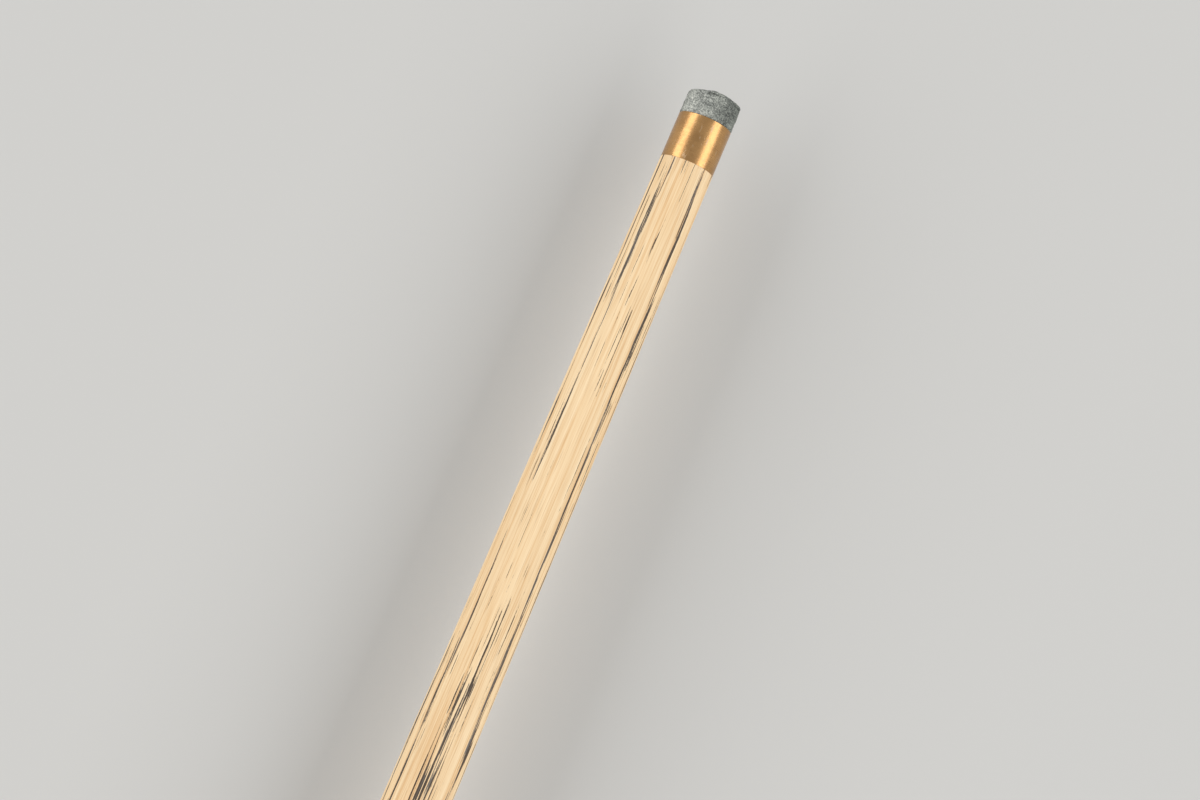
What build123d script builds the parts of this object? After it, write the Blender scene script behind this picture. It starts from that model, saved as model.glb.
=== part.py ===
from build123d import *
from build123d.topology.shape_core import SkipClean

import math
import os

# A snooker cue of ash, 57 inches long, in two pieces that screw together a quarter of the way up.
# Stations run along +Y, from the face of the rubber bumper at 0 to the crown of the leather tip.
# The badge flat and the arrows of the ash grain face up, along +Z. All sizes are in millimetres.

# Overall
cue_length = 1448.0
butt_length = 406.0  # bumper face to joint face
butt_diameter = 29.0
ferrule_diameter = 9.8

# Glue lines and running fits, all on the radius
glue_line = 0.05
thread_clearance = 0.1

# Tip and ferrule
tip_side_height = 4.4
tip_crown_rise = 1.0
tip_edge_round = 0.5
ferrule_length = 8.5
ferrule_wall = 1.4
ferrule_chamfer = 0.15

# Screw joint between shaft and butt
collar_length = 10.0
collar_wall = 2.1
collar_chamfer = 0.25
joint_thread_diameter = 12.0
joint_thread_length = 16.0
joint_thread_lead = 1.0  # chamfer at the pin's end
joint_neck_length = 1.5
joint_neck_depth = 0.8
joint_flange_thickness = 2.0
bush_wall = 1.5
bush_floor = 3.0
bush_depth_to_spare = 1.0
pin_anchor_diameter = 14.0
pin_anchor_length = 28.0

# Grooves that hold the glue on every brass spigot
groove_pitch = 3.0
groove_width = 1.2
groove_depth = 0.5

# Spliced butt: an ash core with four flat faces, an ebony splice on each, a veneered front splice on top
splice_top = 300.0  # station of the ebony points
front_splice_top = 235.0  # station of the front splice's point
veneer_thickness = 0.6
front_cover = 1.0  # ebony left between core and veneers at the butt's end
point_cut = 3.0  # cut square off the feather end of every point
butt_end_round = 2.5

# Badge flat and badge plate
flat_length = 110.0
flat_land = 1.6  # wood left above the bumper's seat
badge_station = 62.0
badge_length = 36.0
badge_width = 10.0
badge_thickness = 1.2
badge_proud = 0.2
badge_chamfer = 0.15
badge_pin_diameter = 1.6
badge_pin_length = 3.4
badge_pin_spacing = 28.0

# Extension socket, bumper and weight in the butt's end
socket_thread_diameter = 11.0
socket_thread_depth = 24.0
socket_recess = 0.8  # brass below the rubber's face
socket_rim_thickness = 1.6
socket_rim_wall = 2.9
socket_neck_wall = 1.6
socket_spigot_wall = 3.5
socket_spigot_length = 30.0
drill_point_angle = 118.0
bumper_diameter = 20.0
bumper_proud = 5.0
bumper_seat_depth = 3.0
bumper_round = 1.2
weight_diameter = 10.0
weight_length = 140.0

# Stations and radii that follow from the sizes above
tip_base = cue_length - tip_side_height - tip_crown_rise
shaft_end = tip_base - ferrule_length
ferrule_radius = ferrule_diameter / 2
tenon_radius = ferrule_radius - ferrule_wall - glue_line
bumper_radius = bumper_diameter / 2
bumper_seat = bumper_proud + bumper_seat_depth
socket_end = bumper_seat + socket_spigot_length
socket_bore = socket_thread_diameter / 2
socket_spigot_radius = socket_bore + socket_spigot_wall
socket_rim_radius = socket_bore + socket_rim_wall
joint_bore = joint_thread_diameter / 2 + thread_clearance
bush_depth = joint_thread_length + bush_depth_to_spare + bush_floor
badge_depth = badge_thickness - badge_proud
reach = butt_diameter  # size of cutting blocks beyond the wood, on every side


def line_through(start, end):
    """A straight line through two (station, height) points, as a function that gives its height."""
    rise = (end[1] - start[1]) / (end[0] - start[0])
    return lambda station: start[1] + rise * (station - start[0])


# Radius of the finished cue: one straight taper from the ferrule down to the butt
radius_at = line_through((shaft_end, ferrule_radius), (0.0, butt_diameter / 2))
joint_seat_radius = radius_at(butt_length) - collar_wall  # inside both brass collars

# Half the width of the square ash core: its corners meet the socket's bore, its faces the ebony points
core_half_width = line_through(
    (socket_end, (socket_spigot_radius + glue_line) / math.sqrt(2)), (splice_top, radius_at(splice_top))
)

# Height of the front splice's glue face, and of the badge flat, over the cue's axis
front_rear_height = core_half_width(bumper_proud) + front_cover + 2 * veneer_thickness
front_height = line_through((bumper_proud, front_rear_height), (front_splice_top, radius_at(front_splice_top)))
flat_end = bumper_proud + flat_length
flat_height = line_through(
    (bumper_proud, bumper_radius + glue_line + flat_land), (flat_end, radius_at(flat_end))
)


def turned(*outline):
    """A turned piece, from its half outline as (radius, station) points."""
    return revolve(make_face(Polyline(*outline, close=True)), Axis.Y)


def rod(radius, start, end):
    """A plain round bar along the cue's axis."""
    return turned((0, start), (radius, start), (radius, end), (0, end))


def block_over(height_at, end, lowered=0.0):
    """Everything above a sloping plane, up to an end station; the plane may be lowered."""
    face = make_face(
        Polyline(
            (-reach, height_at(-reach) - lowered),
            (end, height_at(end) - lowered),
            (end, height_at(end) + reach),
            (-reach, height_at(-reach) + reach),
            close=True,
        )
    )
    return extrude(Plane.YZ * face, reach, both=True)


def with_glue_grooves(spigot, radius, start, end):
    """Turns square glue grooves round a spigot, evenly spread between two stations."""
    count = max(1, int((end - start) / groove_pitch) - 1)
    first = (start + end - (count - 1) * groove_pitch - groove_width) / 2
    for number in range(count):
        low = first + number * groove_pitch
        high = low + groove_width
        floor = radius - groove_depth
        spigot -= turned((floor, low), (radius + 1, low), (radius + 1, high), (floor, high))
    return spigot


def drilled(radius, mouth, depth, direction=1):
    """A blind drilled hole with its conical point, running along +Y, or along -Y if direction is -1."""
    floor = mouth + direction * depth
    point = floor + direction * radius / math.tan(math.radians(drill_point_angle / 2))
    return turned((0, mouth), (radius, mouth), (radius, floor), (0, point))


# ---- Shaft half: everything above the joint ----


def make_tip():
    """Leather disc with upright sides, a low crown and a softened edge."""
    rim = tip_base + tip_side_height
    crown_radius = (ferrule_radius**2 + tip_crown_rise**2) / (2 * tip_crown_rise)
    sides = Polyline((0, cue_length), (0, tip_base), (ferrule_radius, tip_base), (ferrule_radius, rim))
    half = make_face(sides + RadiusArc((ferrule_radius, rim), (0, cue_length), -crown_radius))
    corner = half.vertices().sort_by_distance((ferrule_radius, rim))[0]
    return revolve(fillet(corner, tip_edge_round), Axis.Y)


def make_ferrule():
    """Open brass tube, so that the tip is glued to the end grain of the shaft's tenon."""
    tube = rod(ferrule_radius, shaft_end, tip_base)
    tube -= rod(ferrule_radius - ferrule_wall, shaft_end, tip_base)
    return chamfer(tube.edges().group_by(Axis.Y)[-1].sort_by(SortBy.RADIUS)[-1], ferrule_chamfer)


def make_shaft():
    """Tapered ash shaft, with a tenon for the ferrule, and a tenon and a bore for the brass joint."""
    shoulder = butt_length + collar_length
    bush_seat = butt_length + joint_flange_thickness
    wood = turned(
        (0, bush_seat),
        (joint_seat_radius - glue_line, bush_seat),
        (joint_seat_radius - glue_line, shoulder),
        (radius_at(shoulder), shoulder),
        (ferrule_radius, shaft_end),
        (tenon_radius, shaft_end),
        (tenon_radius, tip_base),
        (0, tip_base),
    )
    bore = joint_bore + bush_wall + glue_line
    return wood - drilled(bore, bush_seat, bush_depth - joint_flange_thickness)


def make_collar(start, end, face):
    """Brass ring that carries the cue's taper over the joint; its corner at the joint face is broken."""
    ring = turned((0, start), (radius_at(start), start), (radius_at(end), end), (0, end))
    ring -= rod(joint_seat_radius, start, end)
    rims = ring.edges().sort_by(lambda edge: abs(edge.center().Y - face))[:2]
    return chamfer(rims.sort_by(SortBy.RADIUS)[-1], collar_chamfer)


def make_shaft_collar():
    return make_collar(butt_length, butt_length + collar_length, butt_length)


def make_shaft_bush():
    """Brass bush with the joint's inner thread, flanged at the joint face and glued in the shaft."""
    body = joint_bore + bush_wall
    shoulder = butt_length + joint_flange_thickness
    end = butt_length + bush_depth
    bush = rod(joint_seat_radius - glue_line, butt_length, shoulder) + rod(body, shoulder, end)
    bush = with_glue_grooves(bush, body, shoulder, end)
    return bush - rod(joint_bore, butt_length, butt_length + joint_thread_length + bush_depth_to_spare)


# ---- Butt half: everything below the joint ----


def make_butt_collar():
    return make_collar(butt_length - collar_length, butt_length, butt_length)


def make_joint_pin():
    """Brass pin: an anchor glued in the butt, a flange, and the screwed end that stands out of it."""
    thread = joint_thread_diameter / 2
    anchor = pin_anchor_diameter / 2
    flange = butt_length - joint_flange_thickness
    start = flange - pin_anchor_length
    pin = turned(
        (0, start),
        (anchor, start),
        (anchor, flange),
        (joint_seat_radius - glue_line, flange),
        (joint_seat_radius - glue_line, butt_length),
        (thread - joint_neck_depth, butt_length),
        (thread - joint_neck_depth, butt_length + joint_neck_length),
        (thread, butt_length + joint_neck_length),
        (thread, butt_length + joint_thread_length - joint_thread_lead),
        (thread - joint_thread_lead, butt_length + joint_thread_length),
        (0, butt_length + joint_thread_length),
    )
    return with_glue_grooves(pin, anchor, start, flange)


def butt_blank():
    """The whole turned butt with its badge flat, before it is divided into the woods it is glued from."""
    shoulder = butt_length - collar_length
    wood = turned(
        (0, bumper_proud),
        (radius_at(bumper_proud), bumper_proud),
        (radius_at(shoulder), shoulder),
        (joint_seat_radius - glue_line, shoulder),
        (joint_seat_radius - glue_line, butt_length - joint_flange_thickness),
        (0, butt_length - joint_flange_thickness),
    )
    wood = fillet(wood.edges().group_by(Axis.Y)[0], butt_end_round)
    return wood - block_over(flat_height, flat_end + reach)


def butt_bores():
    """Every hole drilled along the butt: bumper seat, socket, weight and joint pin."""
    pin_bore = pin_anchor_diameter / 2 + glue_line
    flange = butt_length - joint_flange_thickness
    return (
        rod(bumper_radius + glue_line, 0, bumper_seat)
        + rod(socket_spigot_radius + glue_line, bumper_seat, socket_end)
        + drilled(weight_diameter / 2 + glue_line, socket_end, weight_length)
        + drilled(pin_bore, flange, pin_anchor_length, direction=-1)
    )


def core_prism():
    """The square, tapering ash core, as the crossing of two wedges."""
    wedge = make_face(
        Polyline(
            (0, -core_half_width(0)),
            (butt_length, -core_half_width(butt_length)),
            (butt_length, core_half_width(butt_length)),
            (0, core_half_width(0)),
            close=True,
        )
    )
    upright = extrude(Plane.YZ * wedge, reach, both=True)
    return upright & Rot(0, 90, 0) * upright


def quarter(turn):
    """The quarter of space round +Z between the mitre planes of two splices, turned about +Y."""
    corner = make_face(Polyline((0, 0), (reach, reach), (-reach, reach), close=True))
    return Rot(0, turn, 0) * extrude(Plane.XZ * corner, -butt_length)


def ridged(wood, middle):
    """Keeps a line down the middle of a pointed wood, which holds its feather end in shape."""
    halves = split(wood, middle, keep=Keep.BOTH).solids()
    with SkipClean():
        return halves[0] + halves[1]


def front_point(lowered):
    """Station where a plane below the front splice's glue face leaves the butt, less the cut point."""
    closing = front_height(1) - front_height(0) + radius_at(0) - radius_at(1)
    return front_splice_top + lowered / closing - point_cut


def butt_woods():
    """Divides the blank into its woods: the front splice, its two veneers, four splices and the core."""
    blank = butt_blank() - butt_bores() - badge_recess()
    front, outer, inner = [
        block_over(front_height, front_point(layer * veneer_thickness), layer * veneer_thickness)
        for layer in range(3)
    ]
    below = blank - inner - outer - front
    splices = (below - core_prism()) & rod(2 * reach, 0, splice_top - point_cut)
    woods = {
        "butt_core": below - splices,
        "front_splice": ridged(blank & front, Plane.YZ),
        "outer_veneer": ridged((blank & outer) - front, Plane.YZ),
        "inner_veneer": ridged((blank & inner) - outer - front, Plane.YZ),
    }
    for number, name in enumerate(("top", "right", "bottom", "left")):
        middle = Plane.YZ if number % 2 == 0 else Plane.XY
        woods[f"{name}_splice"] = ridged(splices & quarter(90 * number), middle)
    return woods


# ---- Badge, weight, socket and bumper ----


def badge_plane(offset=0.0):
    """Plane of the badge flat at the badge's middle, with X along the cue and Z outwards."""
    rise = flat_height(badge_station + 1) - flat_height(badge_station)
    plane = Plane(
        origin=(0, badge_station, flat_height(badge_station)), x_dir=(0, 1, rise), z_dir=(0, -rise, 1)
    )
    return plane.offset(offset)


def pin_places():
    """The two pins of the badge plate, one near each end."""
    return [Pos(side * badge_pin_spacing / 2, 0) for side in (-1, 1)]


def badge_recess():
    """Pocket for the badge plate, with the holes for its pins."""
    pocket = SlotOverall(badge_length + 2 * glue_line, badge_width + 2 * glue_line)
    recess = extrude(badge_plane(-badge_depth) * pocket, badge_depth + reach)
    for place in pin_places():
        hole = Circle(badge_pin_diameter / 2 + glue_line)
        recess += extrude(badge_plane(badge_proud - badge_pin_length) * place * hole, badge_pin_length)
    return recess


def make_badge():
    """Blank brass plate with round ends, let into the flat."""
    plate = extrude(badge_plane(-badge_depth) * SlotOverall(badge_length, badge_width), badge_thickness)
    plate = chamfer(plate.faces().sort_by(Axis.Z)[-1].edges(), badge_chamfer)
    for place in pin_places():
        hole = Circle(badge_pin_diameter / 2 + glue_line)
        plate -= extrude(badge_plane(-reach) * place * hole, 2 * reach)
    return plate


def make_badge_pins():
    """Two brass pins, filed level with the plate."""
    foot = badge_plane(badge_proud - badge_pin_length)
    shank = Circle(badge_pin_diameter / 2)
    return Compound([extrude(foot * place * shank, badge_pin_length) for place in pin_places()])


def make_balance_weight():
    """Steel rod that brings the cue to weight and moves its balance towards the hand."""
    return rod(weight_diameter / 2, socket_end, socket_end + weight_length)


def make_end_socket():
    """Brass socket for an extension: rim, neck for the bumper, and a grooved spigot glued in the butt."""
    body = turned(
        (0, socket_recess),
        (socket_rim_radius, socket_recess),
        (socket_rim_radius, socket_recess + socket_rim_thickness),
        (socket_bore + socket_neck_wall, socket_recess + socket_rim_thickness),
        (socket_bore + socket_neck_wall, bumper_seat),
        (socket_spigot_radius, bumper_seat),
        (socket_spigot_radius, socket_end),
        (0, socket_end),
    )
    body = with_glue_grooves(body, socket_spigot_radius, bumper_seat, socket_end)
    return body - drilled(socket_bore, socket_recess, socket_thread_depth)


def make_bumper_ring():
    """Rubber ring between the socket's rim and the wood, standing proud of both."""
    ring = fillet(rod(bumper_radius, 0, bumper_seat).edges().group_by(Axis.Y)[0], bumper_round)
    ring -= rod(socket_rim_radius, 0, socket_recess + socket_rim_thickness)
    return ring - rod(socket_bore + socket_neck_wall, 0, bumper_seat)


def make_cue():
    """Every separate piece of the cue, by name."""
    return {
        "tip": make_tip(),
        "ferrule": make_ferrule(),
        "shaft": make_shaft(),
        "shaft_collar": make_shaft_collar(),
        "shaft_bush": make_shaft_bush(),
        "butt_collar": make_butt_collar(),
        "joint_pin": make_joint_pin(),
        **butt_woods(),
        "badge_plate": make_badge(),
        "badge_pins": make_badge_pins(),
        "balance_weight": make_balance_weight(),
        "end_socket": make_end_socket(),
        "bumper_ring": make_bumper_ring(),
    }


os.makedirs("parts", exist_ok=True)
for name, piece in make_cue().items():
    export_step(piece, f"parts/{name}.step")
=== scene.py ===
import math

import bmesh
import bpy
import numpy as np
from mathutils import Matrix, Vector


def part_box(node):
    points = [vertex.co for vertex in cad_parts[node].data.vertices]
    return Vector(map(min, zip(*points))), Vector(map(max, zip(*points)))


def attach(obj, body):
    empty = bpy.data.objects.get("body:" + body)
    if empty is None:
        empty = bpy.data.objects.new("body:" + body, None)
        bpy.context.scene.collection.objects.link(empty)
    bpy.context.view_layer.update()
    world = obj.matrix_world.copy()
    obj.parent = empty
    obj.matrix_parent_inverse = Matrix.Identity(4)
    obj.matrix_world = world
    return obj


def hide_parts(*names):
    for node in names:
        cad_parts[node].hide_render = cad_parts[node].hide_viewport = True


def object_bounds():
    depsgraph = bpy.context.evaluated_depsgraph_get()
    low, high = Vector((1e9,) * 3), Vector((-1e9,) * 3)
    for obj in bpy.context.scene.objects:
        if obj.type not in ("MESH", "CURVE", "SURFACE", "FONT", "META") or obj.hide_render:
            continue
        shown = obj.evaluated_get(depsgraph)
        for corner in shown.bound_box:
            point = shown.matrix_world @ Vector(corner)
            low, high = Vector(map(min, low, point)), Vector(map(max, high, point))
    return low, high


# A snooker cue: leather tip, brass ferrule, tapered ash shaft with black-filled grain, screw joint and
# spliced butt. Stations run along +Y from the bumper's face; the badge and the grain's arrows face +Z.

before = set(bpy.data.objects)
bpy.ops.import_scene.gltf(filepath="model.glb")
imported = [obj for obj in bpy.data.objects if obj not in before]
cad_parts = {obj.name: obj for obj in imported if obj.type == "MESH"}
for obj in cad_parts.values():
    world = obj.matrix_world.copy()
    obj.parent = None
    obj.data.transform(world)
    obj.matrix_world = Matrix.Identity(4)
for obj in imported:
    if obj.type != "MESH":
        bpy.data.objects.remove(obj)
cad_box = [list(corner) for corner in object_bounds()]

MM = 0.001
FULL_TURN = 2 * math.pi


# ---- Sizes, all taken from the frame ----


def stations(node):
    """Lowest and highest station of a CAD piece."""
    low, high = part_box(node)
    return low.y, high.y


def half_width(node):
    """Largest radius of a round CAD piece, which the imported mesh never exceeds."""
    low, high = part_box(node)
    return (high.x - low.x) / 2


tip_base, cue_end = stations("tip")
ferrule_start, ferrule_end = stations("ferrule")
ferrule_radius = round(half_width("ferrule"), 4)
collar_start, joint_face = stations("butt_collar")
shaft_shoulder = stations("shaft_collar")[1]
taper_slope = (half_width("butt_collar") - ferrule_radius) / (ferrule_start - collar_start)


def taper(station):
    """Radius of the finished cue: a straight line through the ferrule's radius and the butt collar's."""
    return ferrule_radius + taper_slope * (ferrule_start - station)


def line_through(start, end):
    """The straight line through two (station, height) points, as a function of the station."""
    rise = (end[1] - start[1]) / (end[0] - start[0])
    return lambda station: start[1] + rise * (station - start[0])


# The butt's flat faces, as heights over the axis. The points run out to nothing, just past the CAD's.
point_cut = 3.0 * MM
glue_line = 0.05 * MM
wood_start = stations("front_splice")[0]
socket_end = stations("end_socket")[1]
splice_point = stations("right_splice")[1] + point_cut
front_point = stations("front_splice")[1] + point_cut
front_low, front_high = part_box("front_splice")[0].z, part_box("front_splice")[1].z
veneer = front_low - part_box("outer_veneer")[0].z
flat_end = (taper(0) - front_high) / taper_slope
flat_land = 1.6 * MM  # wood left over the bumper's seat
flat_low = half_width("bumper_ring") + glue_line + flat_land
core_face = line_through(
    (socket_end, (half_width("end_socket") + glue_line) / math.sqrt(2)), (splice_point, taper(splice_point))
)
front_face = line_through((wood_start, front_low), (front_point, taper(front_point)))
flat_face = line_through((wood_start, flat_low), (flat_end, taper(flat_end)))

# Sizes inside the brass, which no box of the frame shows. Crest and root are radii of a thread.
ferrule_wall = 1.4 * MM
flange_thickness = 2.0 * MM
joint_pitch = 2.0 * MM
pin_crest, pin_root = 6.0 * MM, 5.05 * MM
pin_anchor, pin_neck = 7.0 * MM, 1.5 * MM  # radius below the flange, length of the plain neck above it
bush_crest, bush_root = 5.15 * MM, 6.1 * MM
bush_body, bush_depth = 7.6 * MM, 17.0 * MM
socket_crest, socket_root, socket_pitch = 4.9 * MM, 5.5 * MM, 1.5 * MM
socket_rim, socket_rim_thickness = 8.4 * MM, 1.6 * MM
socket_neck, socket_neck_end, socket_depth = 7.1 * MM, 7.2 * MM, 24.0 * MM


# ---- Surfaces worked out as arrays ----


def smooth_random(seed, shape, spread):
    """Random heights on a grid that closes on itself both ways: white noise whose spectrum is multiplied by a
    Gaussian, so that bumps are about `spread` cells long and wide, scaled to a standard deviation of 1."""
    white = np.random.default_rng(seed).standard_normal(shape)
    rows, columns = np.meshgrid(*[np.fft.fftfreq(count) for count in shape], indexing="ij")
    soft = np.exp(-2 * (math.pi ** 2) * ((rows * spread[0]) ** 2 + (columns * spread[1]) ** 2))
    field = np.fft.ifft2(np.fft.fft2(white) * soft).real
    return (field - field.mean()) / field.std()


def smooth_step(value, low, high):
    """0 below low, 1 above high, and 3t^2 - 2t^3 in between."""
    share = np.clip((value - low) / (high - low), 0, 1)
    return share * share * (3 - 2 * share)


def put_mesh(name, points, faces, crease=30, groups=None):
    """Makes an object from a point array and a face array, merges doubled points, turns the faces outwards,
    and shades it smooth except over edges sharper than the crease, in degrees, and between face groups."""
    mesh = bpy.data.meshes.new(name)
    mesh.from_pydata(points.tolist(), [], faces.tolist())
    if groups is not None:
        mesh.attributes.new("group", "INT", "FACE").data.foreach_set("value", groups.astype(np.int32))
    work = bmesh.new()
    work.from_mesh(mesh)
    bmesh.ops.remove_doubles(work, verts=work.verts, dist=1e-7)
    bmesh.ops.dissolve_degenerate(work, edges=work.edges, dist=1e-8)
    bmesh.ops.recalc_face_normals(work, faces=work.faces)
    work.to_mesh(mesh)
    work.free()
    mesh.shade_smooth()
    mesh.set_sharp_from_angle(angle=math.radians(crease))
    if groups is not None:
        part_groups(mesh)
    piece = bpy.data.objects.new(name, mesh)
    bpy.context.scene.collection.objects.link(piece)
    return piece


def values_of(data, name, kind):
    """One property of a whole mesh collection, as an array."""
    values = np.zeros(len(data), kind)
    data.foreach_get(name, values)
    return values


def part_groups(mesh):
    """Marks an edge sharp where the largest and the smallest group number of its faces differ."""
    group = values_of(mesh.attributes["group"].data, "value", np.int32)
    corner_group = np.repeat(group, values_of(mesh.polygons, "loop_total", np.int32))
    corner_edge = values_of(mesh.loops, "edge_index", np.int32)
    highest, lowest = np.full(len(mesh.edges), -1), np.full(len(mesh.edges), 999)
    np.maximum.at(highest, corner_edge, corner_group)
    np.minimum.at(lowest, corner_edge, corner_group)
    sharp = values_of(mesh.edges, "use_edge_sharp", bool) | (highest != lowest)
    mesh.edges.foreach_set("use_edge_sharp", sharp)
    mesh.attributes.remove(mesh.attributes["group"])


def ring_faces(rows, turns, closed):
    """Faces between neighbouring rings of `turns` points; if closed, also from the last ring to the first."""
    row = np.arange(rows if closed else rows - 1)[:, None] * turns
    next_row = (row + turns) % (rows * turns)
    here = np.arange(turns)[None, :]
    beside = (here + 1) % turns
    corners = (row + here, row + beside, next_row + beside, next_row + here)
    return np.stack(np.broadcast_arrays(*corners), axis=-1).reshape(-1, 4)


def angles(turns):
    """Angles round the cue, from +Z towards +X, by the right-hand rule about +Y."""
    return np.arange(turns) * FULL_TURN / turns


def around_axis(radius, station, angle):
    """Points (r sin a, y, r cos a), one for each radius, station and angle."""
    radius, station, angle = np.broadcast_arrays(radius, station, angle)
    return np.stack([radius * np.sin(angle), station, radius * np.cos(angle)], axis=-1).reshape(-1, 3)


def ring_surface(name, radius, station, closed, crease=30):
    """A surface round the cue's axis, from arrays of radius and station: one row for each ring, one column
    for each angle, evenly spaced."""
    turns = radius.shape[1]
    points = around_axis(radius, station, angles(turns)[None, :])
    return put_mesh(name, points, ring_faces(len(radius), turns, closed), crease)


def softened(outline, radius, steps=4):
    """Rounds each corner of an open or closed outline of (radius, station) points: the corner becomes a
    parabola that starts and ends `radius` away along its two sides, or a third of a side that is short."""
    points = np.array(outline, float)
    closed = points[0][0] > 0
    count = len(points)
    result = []
    for number in range(count):
        if not closed and number in (0, count - 1):
            result.append(points[number])
            continue
        corner = points[number]
        ends = []
        for neighbour in (points[number - 1], points[(number + 1) % count]):
            side = neighbour - corner
            length = np.linalg.norm(side)
            ends.append(corner + side * min(radius, length / 3) / length)
        for share in np.linspace(0, 1, steps + 1):
            left = 1 - share
            result.append(left ** 2 * ends[0] + 2 * share * left * corner + share ** 2 * ends[1])
    return np.array(result)


def turned(name, outline, edge=0.15 * MM, turns=192):
    """A lathe piece from its half outline, which starts and ends on the axis or else is a closed loop."""
    profile = softened(outline, edge)
    closed = profile[0][0] > 0
    spread = np.ones((1, turns))
    return ring_surface(name, profile[:, :1] * spread, profile[:, 1:] * spread, closed)


def thread_depth(station, angle, pitch):
    """How deep a right-handed thread is cut at a point: 0 on its crest, 1 at its root. The root's middle runs
    along y = pitch * a / turn; on both sides of it a straight flank rises to the crest, and both are flat."""
    flank, flat = 2.6, 0.15
    phase = (station / pitch - angle / FULL_TURN) % 1
    return np.clip(flank * np.abs(phase - 0.5) - flat, 0, 1)


def threaded_rows(start, end, pitch, rows_per_pitch=12):
    """Evenly spaced stations, fine enough to show each turn of a thread."""
    count = int(round((end - start) / pitch * rows_per_pitch)) + 1
    return np.linspace(start, end, count)


# ---- Materials ----


class Reading:
    """A number that changes over a surface. Arithmetic on it adds Math nodes to its finish."""

    def __init__(self, finish, socket):
        self.finish = finish
        self.socket = socket

    def math(self, operation, *terms):
        """A Math node with these terms."""
        return self.finish.node("ShaderNodeMath", {"operation": operation}, dict(enumerate(terms)))

    def __add__(self, other):
        return self.math("ADD", self, other)

    def __sub__(self, other):
        return self.math("SUBTRACT", self, other)

    def __rsub__(self, other):
        return self.math("SUBTRACT", other, self)

    def __mul__(self, other):
        return self.math("MULTIPLY", self, other)

    def __truediv__(self, other):
        return self.math("DIVIDE", self, other)

    __radd__ = __add__
    __rmul__ = __mul__


class Finish:
    """A procedural material: one Principled shader with constant settings, fed by nodes."""

    def __init__(self, name, **constants):
        self.material = bpy.data.materials.new(name)
        self.material.use_nodes = True
        self.tree = self.material.node_tree
        self.shader = self.tree.nodes["Principled BSDF"]
        for socket, value in constants.items():
            self.shader.inputs[socket.replace("_", " ")].default_value = value

    def node(self, kind, settings=None, values=None, output=0):
        """Adds any node: settings first, such as an operation or a ramp's stops, then values or links."""
        made = self.tree.nodes.new(kind)
        for name, setting in (settings or {}).items():
            if name == "stops":
                self.set_stops(made.color_ramp, setting)
            else:
                setattr(made, name, setting)
        for name, value in (values or {}).items():
            self.connect(made.inputs[name], value)
        return Reading(self, made.outputs[output])

    def set_stops(self, ramp, stops):
        """Gives a colour ramp its (position, colour) stops."""
        while len(ramp.elements) < len(stops):
            ramp.elements.new(1.0)
        for element, (position, colour) in zip(ramp.elements, stops):
            element.position = position
            element.color = (*colour, 1.0)

    def connect(self, socket, value):
        """Links a reading to a socket, or sets the socket's value."""
        if isinstance(value, Reading):
            self.tree.links.new(value.socket, socket)
        elif socket.type == "RGBA" and len(value) == 3:
            socket.default_value = (*value, 1.0)
        else:
            socket.default_value = value

    def feed(self, **sockets):
        """Connects the shader's own sockets."""
        for name, value in sockets.items():
            self.connect(self.shader.inputs[name.replace("_", " ")], value)

    def place(self, stretch=(1, 1, 1), shift=(0, 0, 0)):
        """Position on the piece in millimetres, multiplied by a stretch on each axis and then shifted."""
        spot = self.node("ShaderNodeTexCoord", output="Object")
        spot = self.node("ShaderNodeMapping", None, {"Vector": spot, "Scale": [1 / MM] * 3})
        return self.node("ShaderNodeMapping", None, {"Vector": spot, "Scale": stretch, "Location": shift})

    def axes(self, place):
        """The three parts of a position, as separate readings."""
        return [self.node("ShaderNodeSeparateXYZ", None, {0: place}, output=axis) for axis in range(3)]

    def noise(self, place, scale=1.0, detail=2.0, roughness=0.5):
        """Noise from 0 to 1, mostly near a half."""
        values = {"Vector": place, "Scale": scale, "Detail": detail, "Roughness": roughness}
        return self.node("ShaderNodeTexNoise", None, values)

    def step(self, value, low, high):
        """0 below low and 1 above high, smooth in between; low may be above high."""
        settings = {"interpolation_type": "SMOOTHSTEP"}
        first, last = (low, high) if low < high else (high, low)
        values = {"Value": value, "From Min": first, "From Max": last}
        rise = self.node("ShaderNodeMapRange", settings, values)
        return rise if low < high else 1 - rise

    def colour_between(self, share, first, second):
        """First colour where the share is 0, second where it is 1."""
        return self.node("ShaderNodeMix", {"data_type": "RGBA"}, {0: share, 6: first, 7: second}, output=2)

    def darkened(self, colour, shade):
        """A colour multiplied by a shade."""
        settings = {"data_type": "RGBA", "blend_type": "MULTIPLY"}
        return self.node("ShaderNodeMix", settings, {0: 1.0, 6: colour, 7: shade}, output=2)

    def ramp(self, value, *stops):
        """A colour that runs through (position, colour) stops as the value goes from 0 to 1."""
        return self.node("ShaderNodeValToRGB", {"stops": stops}, {0: value})

    def relief(self, height, depth, under=None):
        """Surface relief of a given depth in metres, from a height of 0 to 1, laid over another relief."""
        values = {"Height": height, "Distance": depth, "Strength": 1.0}
        if under is not None:
            values["Normal"] = under
        return self.node("ShaderNodeBump", None, values)


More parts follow.
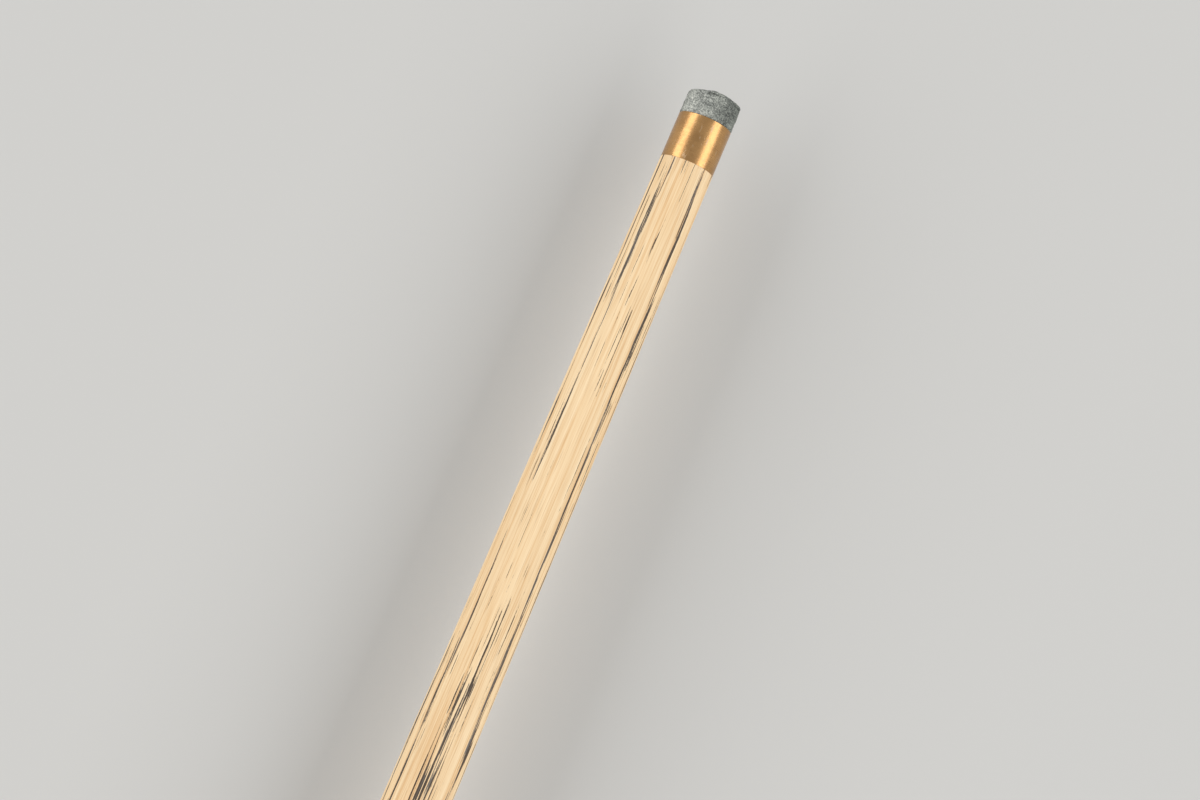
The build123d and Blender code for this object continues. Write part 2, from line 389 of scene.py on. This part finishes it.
def ash_finish(name, ring_shift=0.0):
    """Ash with its open grain filled black. The growth rings are nearly flat sheets across +Z: the ring
    reading is z, tipped a little, running slowly out of the wood, and wandering. Pores are long thin strands:
    a few all over, and many just under each ring, thinning out below it."""
    ash = Finish(name, Specular_IOR_Level=0.28)
    board = (18.5, 9.5, 26.5)  # which part of the endless grain this cue is cut from
    ring_gap = 2.15  # mm between growth rings
    first_ring = 4.15 + ring_shift  # mm above the axis, at the ferrule
    tilt, drift = 0.05, 0.002  # how fast the rings drop across the cue, and run out of the wood along it
    floor_ring = 20.5  # keeps the count of rings positive, half a gap off

    def grain(*stretch, detail=1.0, roughness=0.5):
        """Noise with so many cells a millimetre on each axis."""
        return ash.noise(ash.place(stretch, shift=board), detail=detail, roughness=roughness)

    across, along, up = ash.axes(ash.place())
    wander = grain(0.05, 0.011, 0.05) - 0.5
    ripple = grain(0.5, 0.06, 0.5) - 0.5
    run_out = (ferrule_start / MM - along) * drift
    ring = up + across * tilt + run_out + wander * 0.8 + ripple * 0.35 - first_ring
    count = ring / ring_gap + floor_ring
    phase = (count - count.math("FLOOR", count)) * ring_gap - ring_gap / 2  # mm above the nearest ring
    band = ash.step(phase, -0.80, -0.10) * ash.step(phase, 0.06, -0.03)

    coarse = grain(3.3, 0.050, 1.3, roughness=0.6)
    fine = grain(6.6, 0.120, 3.2)
    ragged = grain(9.0, 1.6, 9.0) - 0.5
    gaps = grain(0.35, 0.022, 0.35) - 0.5
    strands = coarse * 0.58 + fine * 0.42 + ragged * 0.08 + gaps * 0.20
    pores = ash.step(strands + band * 0.19, 0.636, 0.668)
    hairs = ash.step(fine * 0.75 + coarse * 0.25 + band * 0.04, 0.570, 0.680)

    fibre = grain(5.5, 0.045, 5.5, detail=3.0, roughness=0.65)
    stripe = grain(0.9, 0.006, 0.9, detail=2.0)
    wood = ash.ramp(
        fibre * 0.55 + stripe * 0.45 + band * 0.05,
        (0.38, (0.900, 0.705, 0.455)),
        (0.50, (0.830, 0.610, 0.360)),
        (0.60, (0.725, 0.470, 0.240)),
    )
    wood = ash.colour_between(hairs * 0.36, wood, (0.42, 0.240, 0.110))
    filler = ash.ramp(coarse, (0.42, (0.125, 0.120, 0.118)), (0.62, (0.040, 0.030, 0.026)))
    ash.feed(Base_Color=ash.colour_between(pores * 0.94, wood, filler))
    ash.feed(Roughness=0.56 + pores * 0.14 + fibre * 0.06)
    planed = ash.relief(fibre, 0.012 * MM)
    ash.feed(Normal=ash.relief(1 - pores, 0.04 * MM, planed))
    return ash.material


def brass_finish(name, scuffed=0.0):
    """Turned brass: fine rings round the axis on its sides and its ends, faint tarnish, and scuffs."""
    brass = Finish(name, Metallic=1.0)
    place = brass.place()
    along = brass.axes(place)[1]
    from_axis = {0: brass.place((1, 0, 1))}
    out = brass.node("ShaderNodeVectorMath", {"operation": "LENGTH"}, from_axis, output="Value")
    lathe_spot = brass.node("ShaderNodeCombineXYZ", None, {0: along, 1: out})
    lathe = brass.noise(lathe_spot, scale=14.0, detail=2.0, roughness=0.7)
    tarnish = brass.noise(place, scale=0.35, detail=3.0)
    smudge = brass.noise(place, scale=1.6, detail=4.0, roughness=0.65)
    scuff_place = brass.place((2.2, 0.5, 2.2), shift=(4.0, 0.0, 1.0))
    scuffs = brass.step(brass.noise(scuff_place, detail=3.0, roughness=0.6), 0.62, 0.70) * scuffed
    bright, dull, rubbed = (0.625, 0.358, 0.148), (0.50, 0.280, 0.115), (0.62, 0.50, 0.36)
    colour = brass.colour_between(brass.step(tarnish * 0.6 + smudge * 0.4, 0.38, 0.66), bright, dull)
    brass.feed(Base_Color=brass.colour_between(scuffs * 0.45, colour, rubbed))
    brass.feed(Roughness=0.19 + lathe * 0.10 + smudge * 0.08 + scuffs * 0.2)
    brass.feed(Normal=brass.relief(lathe, 0.006 * MM))
    return brass.material


def leather_finish():
    """Filed leather, grey with worked-in chalk: pale fibres and dark pits, and painted shade that darkens the
    side towards +X.
    """
    leather = Finish("filed_leather", Specular_IOR_Level=0.12)
    place = leather.place()
    fibres = leather.noise(leather.place((2.8, 2.8, 2.8)), detail=4.0, roughness=0.75)
    flecks = leather.noise(leather.place((6.5, 4.5, 6.5)), detail=3.0, roughness=0.7)
    patches = leather.noise(place, scale=0.45, detail=2.0) - 0.5
    colour = leather.ramp(
        fibres * 0.45 + flecks * 0.55 + patches * 0.25,
        (0.36, (0.075, 0.079, 0.075)),
        (0.46, (0.220, 0.230, 0.216)),
        (0.53, (0.390, 0.405, 0.375)),
        (0.62, (0.760, 0.770, 0.705)),
    )
    across = leather.axes(place)[0]
    # Painted shade: the colour darkens to half from the -X side of the tip to the +X side, its edge made
    # ragged by the patches.
    painted_shade_share = leather.step(across + patches * 3.0, -5.5, 5.5)
    shade = leather.ramp(painted_shade_share, (0.0, (1.0, 1.0, 1.0)), (1.0, (0.50, 0.52, 0.51)))
    leather.feed(Base_Color=leather.darkened(colour, shade), Roughness=0.88 + flecks * 0.12)
    leather.feed(Normal=leather.relief(fibres * 0.6 + flecks * 0.4, 0.16 * MM))
    return leather.material


def ebony_finish():
    """Polished ebony: almost black, with thin dark brown streaks along the cue."""
    ebony = Finish("polished_ebony", Coat_Weight=0.35, Coat_Roughness=0.08)
    streak = ebony.noise(ebony.place((1.4, 0.012, 1.4)), detail=3.0, roughness=0.65)
    pores = ebony.step(ebony.noise(ebony.place((6.0, 0.12, 6.0)), detail=1.0), 0.64, 0.72)
    ebony.feed(Base_Color=ebony.ramp(streak, (0.45, (0.012, 0.010, 0.009)), (0.72, (0.052, 0.034, 0.024))))
    ebony.feed(Roughness=0.22 + streak * 0.08 + pores * 0.2)
    ebony.feed(Normal=ebony.relief(1 - pores, 0.02 * MM))
    return ebony.material


def rosewood_finish():
    """Polished rosewood: red-brown ground with near-black veins that wander along the cue."""
    wood = Finish("polished_rosewood", Coat_Weight=0.35, Coat_Roughness=0.08)
    wander = wood.noise(wood.place((0.12, 0.012, 0.12)), detail=2.0)
    veins = wood.noise(wood.place((0.9, 0.010, 0.9)), detail=4.0, roughness=0.7)
    pores = wood.step(wood.noise(wood.place((5.0, 0.16, 5.0)), detail=1.0), 0.62, 0.69)
    colour = wood.ramp(
        veins * 0.7 + wander * 0.3,
        (0.40, (0.022, 0.009, 0.006)),
        (0.50, (0.130, 0.036, 0.016)),
        (0.62, (0.235, 0.078, 0.033)),
    )
    wood.feed(Base_Color=wood.colour_between(pores, colour, (0.016, 0.007, 0.005)))
    wood.feed(Roughness=0.23 + pores * 0.25)
    wood.feed(Normal=wood.relief(1 - pores, 0.03 * MM))
    return wood.material


def veneer_finish(name, pale, deep):
    """A thin polished veneer with fibres along the cue."""
    veneer = Finish(name, Coat_Weight=0.35, Coat_Roughness=0.08)
    fibre = veneer.noise(veneer.place((4.0, 0.05, 4.0)), detail=3.0)
    veneer.feed(Base_Color=veneer.ramp(fibre, (0.35, deep), (0.65, pale)))
    veneer.feed(Roughness=0.25 + fibre * 0.08)
    return veneer.material


def rubber_finish():
    """Matte black rubber, dusty and lightly pitted."""
    rubber = Finish("bumper_rubber", Specular_IOR_Level=0.3)
    dust = rubber.noise(rubber.place((0.6, 0.6, 0.6)), detail=4.0)
    pits = rubber.noise(rubber.place((5.0, 5.0, 5.0)), detail=3.0)
    rubber.feed(Base_Color=rubber.ramp(dust, (0.40, (0.018, 0.018, 0.018)), (0.70, (0.060, 0.058, 0.055))))
    rubber.feed(Roughness=0.62 + pits * 0.25)
    rubber.feed(Normal=rubber.relief(pits, 0.05 * MM))
    return rubber.material


def steel_finish():
    """Plain drawn steel of the hidden weight."""
    steel = Finish("drawn_steel", Metallic=1.0)
    lines = steel.noise(steel.place((6.0, 0.2, 6.0)), detail=2.0)
    steel.feed(Base_Color=steel.ramp(lines, (0.35, (0.42, 0.42, 0.43)), (0.65, (0.56, 0.56, 0.57))))
    steel.feed(Roughness=0.28 + lines * 0.15)
    return steel.material


def brushed_badge_finish():
    """Brass plate brushed along its length."""
    plate = Finish("brushed_badge", Metallic=1.0)
    lines = plate.noise(plate.place((9.0, 0.15, 9.0)), detail=3.0, roughness=0.7)
    blush = plate.noise(plate.place((0.2, 0.1, 0.2)), detail=2.0)
    plate.feed(Base_Color=plate.colour_between(blush, (0.74, 0.47, 0.17), (0.60, 0.36, 0.12)))
    plate.feed(Roughness=0.24 + lines * 0.14)
    plate.feed(Normal=plate.relief(lines, 0.008 * MM))
    return plate.material


# ---- Pieces of the shaft half ----


def dress(piece, body, slot, material, *nodes):
    """Puts a finished piece on its body in place of its CAD nodes, with its finish."""
    piece.data.materials.append(material)
    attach(piece, body)
    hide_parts(*nodes)


def make_tip(leather):
    """Leather tip as rings of radius and station: its side bulges a little, and its rim is uneven, with one
    sector standing higher over a thin open crease. The crown falls as 1 - (r/R)^2.8 from its middle."""
    turns, side_rings, rim_rings, crown_rings = 420, 66, 13, 39
    low_side, step_up, crown_power = 4.46 * MM, 0.38 * MM, 2.8
    crease_depth, crease_width = 0.30 * MM, 0.11
    # Bearings in degrees at which each open stretch of the crease begins, is open, begins to close, is closed
    creases = ((-21, -17, 6, 13), (44, 52, 84, 96), (150, 160, 172, 178))

    bearing = np.degrees((angles(turns)[None, :] + math.pi) % FULL_TURN - math.pi)  # -180 to 180, 0 at +Z
    raised = smooth_step(bearing, -34, -6) * (1 - smooth_step(bearing, 110, 175))
    uneven = smooth_random(3, (1, turns), (0, 14)) * 0.04 * MM
    side_height = low_side + raised * step_up + uneven
    shoulder = (0.42 - 0.10 * raised) * MM

    levels = np.linspace(0, 1, side_rings)[:, None]
    bulge = 0.05 * MM * np.sin(math.pi * levels)
    foot_round = 0.06 * MM * np.exp(-levels * 60)
    station = tip_base + levels * (side_height - shoulder)
    below_rim = (side_height - (station - tip_base)) / MM
    crease_at = 0.55 + 0.08 * smooth_random(11, (1, turns), (0, 20))  # mm below the rim
    open_here = sum(smooth_step(bearing, a, b) * (1 - smooth_step(bearing, c, d)) for a, b, c, d in creases)
    crease = crease_depth * open_here * np.exp(-(((below_rim - crease_at) / crease_width) ** 2))
    radius = ferrule_radius - 0.05 * MM + bulge - foot_round - crease

    arc = np.linspace(0, 1, rim_rings + 1)[1:, None] * math.pi / 2
    rim_radius = radius[-1:] - shoulder * (1 - np.cos(arc))
    rim_station = tip_base + side_height - shoulder * (1 - np.sin(arc))
    share = np.linspace(1, 0, crown_rings + 1)[1:, None]
    crown_radius = rim_radius[-1:] * share
    crown_top = cue_end - 0.08 * MM
    crown_station = rim_station[-1:] + (crown_top - rim_station[-1:]) * (1 - share ** crown_power)

    radius = np.vstack([radius, rim_radius, crown_radius])
    station = np.vstack([station, rim_station, crown_station])
    fuzz = smooth_random(5, radius.shape, (1.6, 2.2)) * 0.030 + smooth_random(6, radius.shape, (4, 6)) * 0.025
    fade = np.minimum(radius / (1.5 * MM), 1)
    outwards = np.concatenate([np.ones(side_rings), np.cos(arc[:, 0]), np.zeros(crown_rings)])[:, None]
    radius = radius + fuzz * MM * outwards * fade - 0.03 * MM * outwards
    station = station + fuzz * MM * (1 - outwards) * fade * 0.8
    radius[-1] = 0
    station[-1] = station[-1].mean()
    radius = np.vstack([np.zeros((1, turns)), radius])
    station = np.vstack([np.full((1, turns), tip_base), station])
    tip = ring_surface("leather_tip", radius, station, closed=False, crease=70)
    dress(tip, "shaft", "leather", leather, "tip")


def make_ferrule(brass):
    """Open brass tube with softly broken edges."""
    bore = ferrule_radius - ferrule_wall
    outline = [
        (ferrule_radius, ferrule_start),
        (ferrule_radius, ferrule_end),
        (bore, ferrule_end),
        (bore, ferrule_start),
    ]
    dress(turned("brass_ferrule", outline, 0.12 * MM, 256), "shaft", "brass", brass, "ferrule")


def make_shaft(ash):
    """The tapered shaft with both tenons and the bush's bore, planed by hand to within a few hundredths."""
    turns, rings = 192, 260
    tenon = ferrule_radius - ferrule_wall - glue_line
    seat = half_width("shaft_bush")
    bore = bush_body + glue_line
    bush_end = stations("shaft_bush")[1]
    mouth = stations("shaft")[0]
    rows = np.linspace(shaft_shoulder, ferrule_start, rings)[:, None]
    planed = smooth_random(21, (rings, turns), (9, 12)) * 0.012 * MM
    true_at_ends = np.minimum(1, np.minimum(rows - shaft_shoulder, ferrule_start - rows) / (8 * MM))
    body = taper(rows) + planed * true_at_ends
    before = [(0, bush_end), (bore, bush_end), (bore, mouth), (seat, mouth), (seat, shaft_shoulder)]
    after = [(tenon, ferrule_start), (tenon, tip_base), (0, tip_base)]
    before, after = [np.array(part)[:, :, None] * np.ones(turns) for part in (before, after)]
    radius = np.vstack([before[:, 0], body, after[:, 0]])
    station = np.vstack([before[:, 1], rows * np.ones(turns), after[:, 1]])
    dress(ring_surface("ash_shaft", radius, station, False), "shaft", "ash", ash, "shaft")


def make_collar(name, node, body, brass):
    """Brass collar ring with a fine groove near its wood end, where the turner finished it."""
    start, end = stations(node)
    bore = half_width("joint_pin") + glue_line
    inset, width, depth = 1.6 * MM, 0.25 * MM, 0.22 * MM
    groove = start + inset if end == joint_face else end - inset
    near, far = groove - width, groove + width
    outline = [
        (bore, start), (taper(start), start),
        (taper(near), near), (taper(groove) - depth, groove), (taper(far), far),
        (taper(end), end), (bore, end),
    ]
    dress(turned(name, outline, 0.18 * MM, 256), body, "brass", brass, node)


def make_joint_pin(brass):
    """Joint pin: anchor, flange, neck, and the screwed end, whose radius is cut by the thread's depth."""
    turns = 128
    start, end = stations("joint_pin")
    seat = half_width("joint_pin")
    flange = joint_face - flange_thickness
    screw_start = joint_face + pin_neck
    rows = threaded_rows(screw_start, end, joint_pitch)[:, None]
    lead_in = np.minimum(pin_crest, pin_root - 0.1 * MM + (end - rows) * 0.9)
    run_out = np.clip((rows - screw_start) / (0.6 * MM), 0, 1)
    cut = pin_crest - (pin_crest - pin_root) * thread_depth(rows, angles(turns)[None, :], joint_pitch)
    screw = np.minimum(cut * run_out + pin_root * (1 - run_out), lead_in)
    outline = [
        (0, start), (pin_anchor, start), (pin_anchor, flange), (seat, flange), (seat, joint_face),
        (pin_root, joint_face), (pin_root, screw_start), (0, screw_start),
    ]
    foot = softened(outline, 0.2 * MM)[:-1]
    radius = np.vstack([foot[:, :1] * np.ones(turns), screw, np.zeros((1, turns))])
    station = np.vstack([foot[:, 1:] * np.ones(turns), rows * np.ones(turns), np.full((1, turns), end)])
    pin = ring_surface("joint_pin_screw", radius, station, False)
    dress(pin, "butt", "brass", brass, "joint_pin")


def threaded_socket(name, outline, crest, root, pitch, mouth, floor):
    """A lathe piece with a threaded blind hole: the hole's wall is its root radius less the thread's ridge,
    which fades out at the mouth. The outline runs from the axis behind the floor, round the outside, to the
    mouth."""
    turns, fade = 128, 0.8 * MM
    low, high = sorted([mouth, floor])
    rows = threaded_rows(low, high, pitch)
    rows = (rows if mouth == low else rows[::-1])[:, None]
    ridge = (root - crest) * (1 - thread_depth(rows, angles(turns)[None, :], pitch))
    wall = root - ridge * np.clip(np.abs(rows - mouth) / fade, 0, 1)
    outside = softened(outline, 0.2 * MM)
    radius = np.vstack([outside[:, :1] * np.ones(turns), wall, np.zeros((1, turns))])
    station = np.vstack([outside[:, 1:] * np.ones(turns), rows * np.ones(turns), np.full((1, turns), floor)])
    return ring_surface(name, radius, station, False)


def make_shaft_bush(brass):
    """Threaded bush in the shaft's end; its thread meshes with the pin's through the whole travel."""
    start, end = stations("shaft_bush")
    seat, flange_back = half_width("shaft_bush"), start + flange_thickness
    outline = [
        (0, end), (bush_body, end), (bush_body, flange_back), (seat, flange_back), (seat, start),
        (bush_root, start),
    ]
    thread = (bush_crest, bush_root, joint_pitch)
    bush = threaded_socket("shaft_bush_thread", outline, *thread, start, start + bush_depth)
    dress(bush, "shaft", "brass", brass, "shaft_bush")


def make_end_socket(brass):
    """Extension socket in the butt's end, with a finer thread."""
    start, end = stations("end_socket")
    seat = half_width("end_socket")
    rim_back, neck_back = start + socket_rim_thickness, start + socket_neck_end
    outline = [
        (0, end), (seat, end), (seat, neck_back), (socket_neck, neck_back), (socket_neck, rim_back),
        (socket_rim, rim_back), (socket_rim, start), (socket_root, start),
    ]
    thread = (socket_crest, socket_root, socket_pitch)
    socket = threaded_socket("end_socket_thread", outline, *thread, start, start + socket_depth)
    dress(socket, "butt", "brass", brass, "end_socket")


def make_bumper(rubber):
    """Rubber ring with a rounded outer edge and two moulded grooves round its side."""
    start, end = stations("bumper_ring")
    outer, rim, neck = half_width("bumper_ring"), socket_rim + glue_line, socket_neck + glue_line
    step = stations("end_socket")[0] + socket_rim_thickness
    edge, edge_middle, groove = 1.2 * MM, 0.35 * MM, 0.25 * MM
    grooves = []
    for middle in (start + 2.4 * MM, start + 3.6 * MM):
        grooves += [(outer, middle - groove), (outer - groove, middle), (outer, middle + groove)]
    outline = [
        (rim, start),
        (outer - edge, start), (outer - edge_middle, start + edge_middle), (outer, start + edge),
        *grooves, (outer, end), (neck, end), (neck, step), (rim, step),
    ]
    dress(turned("rubber_bumper", outline, 0.3 * MM), "butt", "rubber", rubber, "bumper_ring")


# ---- Woods of the butt ----

butt_round = 2.5 * MM  # rounded edge at the butt's end
fan = np.linspace(0, 1, 17)[None, :]


def butt_radius(station):
    """The taper, with a quarter circle taken off at the butt's end."""
    short = np.clip(wood_start + butt_round - station, 0, butt_round)
    return taper(station) - butt_round + np.sqrt(butt_round ** 2 - short ** 2)


def bore_radius(station):
    """Radius of the hole along the butt: the bumper's seat, then the socket's spigot, then none."""
    seat_end = stations("bumper_ring")[1]
    spigot = np.where(station < socket_end, half_width("end_socket") + glue_line, 0)
    return np.where(station < seat_end, half_width("bumper_ring") + glue_line, spigot)


def wood_stations(point):
    """Stations from the butt's end to a wood's point, close together on the rounded edge and near the point,
    where the outline is a parabola: y = point - length * (1 - t)^2."""
    edge = wood_start + butt_round * (1 - np.cos(np.linspace(0, math.pi / 2, 9)))
    rest = point - (point - edge[-1]) * (1 - np.linspace(0, 1, 90)) ** 2
    return np.concatenate([edge, rest[1:]])[:, None]


def fan_angles(reach, kink):
    """Angles from -reach to reach in three stretches that meet at -kink and kink."""
    outer = (reach - kink) * fan
    return np.hstack([outer - reach, 2 * kink * fan - kink, kink + outer])


def leaving_angle(height, radius):
    """Angle from the middle at which a flat face at this height leaves the round surface: acos(h / R)."""
    return np.arccos(np.clip(height / radius, 0, 1))


def make_wood(node, material, slot, point, floor, lid=None, turn=0, mitred=False, under_lid=(0, 1, 0)):
    """A wood of the butt. Across the cue it fills a fan of angles between two flat glue faces, or a glue face
    and the cue's round surface: from max(floor / cos a, bore) out to min(R, lid / cos b), where a is measured
    from the wood's middle and b from the top. Of the fan's three stretches, under_lid tells which lie under
    the lid."""
    thinnest, nearly_side_on = 0.02 * MM, 0.05
    inside, edge, end = 2, 3, 4  # groups of faces, beside 0 for the round outside and 1 for the lid
    rows = wood_stations(point)
    radius = butt_radius(rows)
    reach = leaving_angle(floor(rows), radius)
    if mitred:
        reach = np.minimum(reach, math.pi / 4)
    lid_height = lid(rows) if lid else radius * 2
    turn, from_top = math.radians(turn), math.radians(min(turn, 360 - turn))
    across = fan_angles(reach, np.minimum(reach, abs(from_top - leaving_angle(lid_height, radius))))
    outer = np.minimum(radius, lid_height / np.maximum(np.cos(across + turn), nearly_side_on))
    inner = np.maximum(floor(rows) / np.cos(across), bore_radius(rows))
    inner = np.minimum(inner, outer - thinnest)

    columns, third = outer.shape[1], fan.shape[1]
    outline = np.hstack([outer, inner[:, ::-1]])
    points = around_axis(outline, rows, np.hstack([across, across[:, ::-1]]) + turn)
    faces = ring_faces(len(rows), 2 * columns, closed=False)
    outside = np.repeat(under_lid, third)[:-1].tolist()
    groups = np.tile(outside + [edge] + [inside] * (columns - 1) + [edge], len(rows) - 1)
    near = np.arange(columns - 1)
    far = 2 * columns - 1 - near
    cap = np.stack([near, near + 1, far - 1, far], axis=-1)
    groups = np.concatenate([groups, np.full(len(cap), end)])
    wood = put_mesh(f"{node}_wood", points, np.vstack([faces, cap]), groups=groups)
    dress(wood, "butt", slot, material, node)


def make_core(ash):
    """The ash core: outside it is the cue's round surface, cut by four flat faces that rise to the splices'
    points, so the radius is min(R, face / cos a) about each face's middle. Inside are the weight's and the
    pin's bores; the joint's tenon ends it."""
    drill_point = 0.6  # length of a bore's pointed end, as a share of its radius
    weight_bore, pin_bore = half_width("balance_weight") + glue_line, pin_anchor + glue_line
    weight_end = stations("balance_weight")[1]
    pin_start = stations("joint_pin")[0]
    tenon, tenon_end = half_width("joint_pin"), joint_face - flange_thickness
    up_to_points = splice_point - (splice_point - socket_end) * (1 - np.linspace(0, 1, 80)) ** 2
    outside = np.concatenate([up_to_points, np.linspace(splice_point, collar_start, 40)[1:]])
    before = [
        (0, weight_end + drill_point * weight_bore), (weight_bore, weight_end), (weight_bore, socket_end),
    ]
    after = [
        (tenon, collar_start), (tenon, tenon_end), (pin_bore, tenon_end), (pin_bore, pin_start),
        (0, pin_start - drill_point * pin_bore),
    ]
    rows = np.concatenate([[y for _, y in before], outside, [y for _, y in after]])[:, None]
    radius = taper(rows)
    face = core_face(np.clip(rows, socket_end, splice_point))
    reach = np.full(rows.shape, math.pi / 4)
    quarter = fan_angles(reach, np.minimum(reach, leaving_angle(face, radius)))
    level = np.where(rows > splice_point, radius, np.minimum(radius, face / np.cos(quarter)))
    for first, part in ((0, before), (len(rows) - len(after), after)):
        level[first:first + len(part)] = np.array([r for r, _ in part])[:, None]

    around = np.hstack([quarter + number * math.pi / 2 for number in range(4)])
    level = np.hstack([level] * 4)
    by_column = np.tile(np.repeat([0, 1, 0], fan.shape[1]), 4)  # round, flat, round on each quarter
    by_row = np.zeros((len(rows) - 1, 1), int)  # one group for each ring of faces of the bores and the tenon
    by_row[:len(before), 0] = 10 + np.arange(len(before))
    by_row[-len(after):, 0] = 20 + np.arange(len(after))
    groups = np.where(by_row == 0, by_column, by_row).ravel()
    points = around_axis(level, rows, around)
    faces = ring_faces(len(rows), level.shape[1], closed=False)
    core = put_mesh("butt_core_wood", points, faces, groups=groups)
    dress(core, "butt", "ash", ash, "butt_core")


def make_butt_woods():
    """Four ebony splices, two veneers and the rosewood front splice round the ash core."""
    closing = (front_face(1) - front_face(0)) + taper_slope  # how fast face and round surface meet
    ebony = ebony_finish()
    maple = veneer_finish("maple_veneer", (0.80, 0.60, 0.34), (0.66, 0.45, 0.22))
    green = veneer_finish("green_veneer", (0.035, 0.150, 0.075), (0.016, 0.085, 0.040))
    lower_face = [lambda y, drop=number * veneer: front_face(y) - drop for number in range(3)]
    lower_point = [front_point + number * veneer / closing for number in range(3)]
    splices = {
        "top_splice": (0, (0, 1, 0)),
        "right_splice": (90, (1, 0, 0)),
        "bottom_splice": (180, (0, 0, 0)),
        "left_splice": (270, (0, 0, 1)),
    }
    for node, (turn, under_lid) in splices.items():
        make_wood(node, ebony, "ebony", splice_point, core_face, lower_face[2], turn, True, under_lid)
    make_wood("inner_veneer", green, "veneer_green", lower_point[2], lower_face[2], lower_face[1])
    make_wood("outer_veneer", maple, "veneer_light", lower_point[1], lower_face[1], lower_face[0])
    make_wood("front_splice", rosewood_finish(), "rosewood", front_point, front_face, flat_face_or_round)
    make_core(ash_finish("butt_ash", ring_shift=0.8))


def flat_face_or_round(station):
    """The badge flat, up to where it runs out of the round surface."""
    return np.where(station < flat_end, flat_face(station), taper(station) * 2)


def refinish(node, material):
    """A CAD piece whose shape is right keeps it, and gets its finish."""
    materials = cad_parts[node].data.materials
    materials.clear()
    materials.append(material)


# ---- Studio ----


def make_floor():
    """A plain pale floor under the cue."""
    half_side = 4.0
    low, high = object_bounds()
    middle = np.array((low + high)[:2]) / 2
    corners = middle + half_side * np.array([(-1, -1), (1, -1), (1, 1), (-1, 1)])
    points = np.column_stack([corners, np.full(4, low.z)])
    floor = put_mesh("studio_floor", points, np.array([[0, 1, 2, 3]]))
    paint = Finish("floor_paint", Roughness=0.9, Base_Color=(0.56, 0.56, 0.55, 1.0))
    floor.data.materials.append(paint.material)


def make_soft_box(name, side, lean_degrees):
    """A long soft box beside and above the cue, parallel to it and facing it, leaning off the vertical."""
    lean, distance = math.radians(lean_degrees), 3.0
    lamp = bpy.data.lights.new(name, "AREA")
    lamp.shape = "RECTANGLE"
    lamp.size, lamp.size_y = 1.86, 9.6
    lamp.energy = 117
    lamp.color = (1.0, 0.985, 0.96)
    box = bpy.data.objects.new(name, lamp)
    bpy.context.scene.collection.objects.link(box)
    middle = (cad_box[0][1] + cad_box[1][1]) / 2
    box.location = (side * distance * math.sin(lean), middle, distance * math.cos(lean))
    box.rotation_euler = (0, side * lean, 0)
    box.visible_camera = False


def make_camera():
    """Camera above the tip end, looking down past it with a long lens, the cue rising to the right."""
    back_from_ferrule, height = 0.1025, 0.4422
    look = (6.344, -2.977, 22.879)  # degrees
    lens = bpy.data.cameras.new("camera")
    lens.lens, lens.sensor_width = 77.0, 36.0
    camera = bpy.data.objects.new("camera", lens)
    bpy.context.scene.collection.objects.link(camera)
    camera.location = (0, (ferrule_start + ferrule_end) / 2 - back_from_ferrule, height)
    camera.rotation_euler = [math.radians(angle) for angle in look]
    bpy.context.scene.camera = camera


def make_studio():
    """Floor, even grey light from all round, a soft box on each side, and the camera."""
    world = bpy.data.worlds.new("studio")
    world.use_nodes = True
    background = world.node_tree.nodes["Background"].inputs
    background["Color"].default_value = (1, 1, 1, 1)
    background["Strength"].default_value = 0.5
    bpy.context.scene.world = world
    bpy.context.scene.view_settings.view_transform = "Standard"
    make_floor()
    make_soft_box("left_soft_box", -1, 60)
    make_soft_box("right_soft_box", 1, 54)
    make_camera()


def build():
    """Everything that is seen, and the weight that isn't."""
    ash = ash_finish("black_grain_ash")
    brass = brass_finish("turned_brass")
    make_tip(leather_finish())
    make_ferrule(brass_finish("ferrule_brass", scuffed=1.0))
    make_shaft(ash)
    make_collar("shaft_collar_ring", "shaft_collar", "collar", brass)
    make_collar("butt_collar_ring", "butt_collar", "butt", brass)
    make_shaft_bush(brass)
    make_joint_pin(brass)
    make_end_socket(brass)
    make_bumper(rubber_finish())
    make_butt_woods()
    badge = brushed_badge_finish()
    refinish("badge_plate", badge)
    refinish("badge_pins", badge)
    refinish("balance_weight", steel_finish())
    make_studio()


build()
